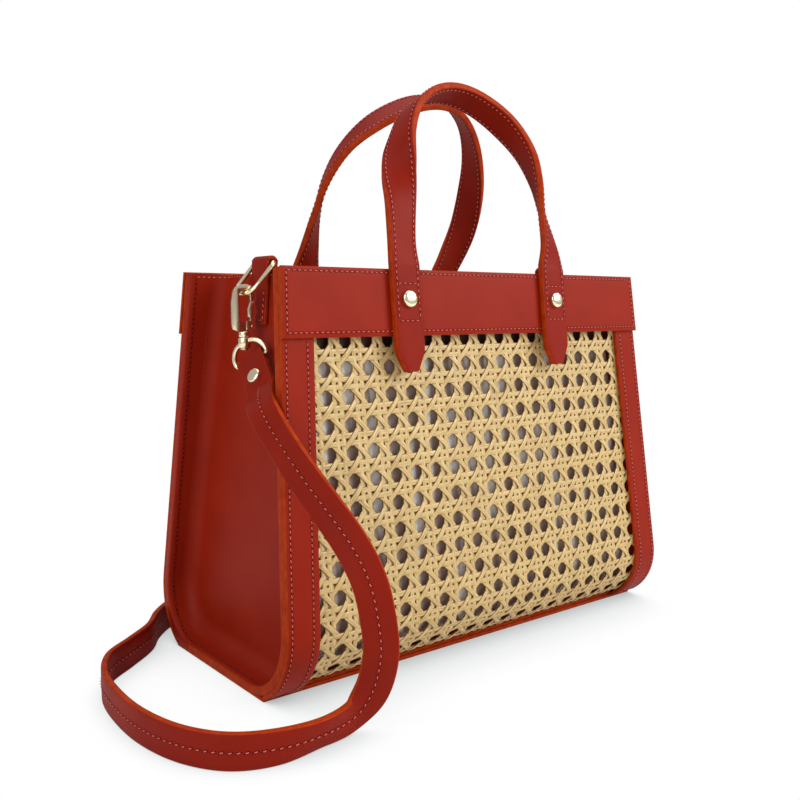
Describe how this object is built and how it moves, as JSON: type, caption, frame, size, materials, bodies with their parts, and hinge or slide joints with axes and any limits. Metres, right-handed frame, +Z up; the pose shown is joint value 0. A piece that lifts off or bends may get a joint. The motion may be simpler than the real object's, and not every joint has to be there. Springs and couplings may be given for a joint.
{
  "type": "tote bag",
  "caption": "Box tote bag of leather with woven cane front and back, arched handles, and a long strap clipped to rings at its sides.",
  "frame": {"origin": "on the floor, under the middle of the bag", "axes": "+X along the width, front of the bag to -Y, +Z up"},
  "size_m": [0.3359, 0.2244, 0.3077],
  "materials": {
    "leather": "smooth",
    "cane": "natural, satin",
    "lining": "matt",
    "board": "matt",
    "gold_metal": "polished"
  },
  "bodies": {
    "bag": {"back_band_backing": "leather", "back_cane_panel": "cane", "back_facing": "leather", "back_handle": "leather", "back_left_handle_screw": "gold_metal", "back_left_screw_cap": "gold_metal", "back_left_stile": "leather", "back_right_handle_screw": "gold_metal", "back_right_screw_cap": "gold_metal", "back_right_stile": "leather", "back_top_band": "leather", "base_board": "board", "base_panel": "leather", "front_band_backing": "leather", "front_cane_panel": "cane", "front_facing": "leather", "front_handle": "leather", "front_left_handle_screw": "gold_metal", "front_left_screw_cap": "gold_metal", "front_left_stile": "leather", "front_right_handle_screw": "gold_metal", "front_right_screw_cap": "gold_metal", "front_right_stile": "leather", "front_top_band": "leather", "left_bow": "gold_metal", "left_gusset": "leather", "left_ring_tab": "leather", "left_strap_screw": "gold_metal", "lining": "lining", "right_bow": "gold_metal", "right_gusset": "leather", "right_ring_tab": "leather", "right_strap_screw": "gold_metal", "shoulder_strap": "leather"},
    "left_ring": {"left_ring": "gold_metal"},
    "left_hook": {"left_hook_body": "gold_metal", "left_gate_pin": "gold_metal"},
    "left_gate": {"left_hook_gate": "gold_metal"},
    "right_ring": {"right_ring": "gold_metal"},
    "right_hook": {"right_hook_body": "gold_metal", "right_gate_pin": "gold_metal"},
    "right_gate": {"right_hook_gate": "gold_metal"}
  },
  "joints": [
    {"name": "left_ring_swing", "type": "hinge", "parent": "bag", "child": "left_ring", "pos_m": [-0.103, 0, 0.2038], "axis": [0, 1, 0], "range_deg": [-2, 0]},
    {"name": "left_hook_swivel", "type": "hinge", "parent": "bag", "child": "left_hook", "pos_m": [-0.116, -0.0015, 0.1695], "axis": [0, 0, 1], "range_deg": [-3.5, 30]},
    {"name": "left_gate_pivot", "type": "hinge", "parent": "left_hook", "child": "left_gate", "pos_m": [-0.11248, -0.00225, 0.1723], "axis": [-0.2079, -0.9781, 0], "range_deg": [0, 22], "stiffness_Nm_per_rad": 0.002},
    {"name": "right_ring_swing", "type": "hinge", "parent": "bag", "child": "right_ring", "pos_m": [0.103, 0, 0.2038], "axis": [0, -1, 0], "range_deg": [-2, 0]},
    {"name": "right_hook_swivel", "type": "hinge", "parent": "bag", "child": "right_hook", "pos_m": [0.116, 0.0015, 0.1695], "axis": [0, 0, 1], "range_deg": [-3.5, 30]},
    {"name": "right_gate_pivot", "type": "hinge", "parent": "right_hook", "child": "right_gate", "pos_m": [0.11248, 0.00225, 0.1723], "axis": [0.2079, 0.9781, 0], "range_deg": [0, 22], "stiffness_Nm_per_rad": 0.002}
  ]
}
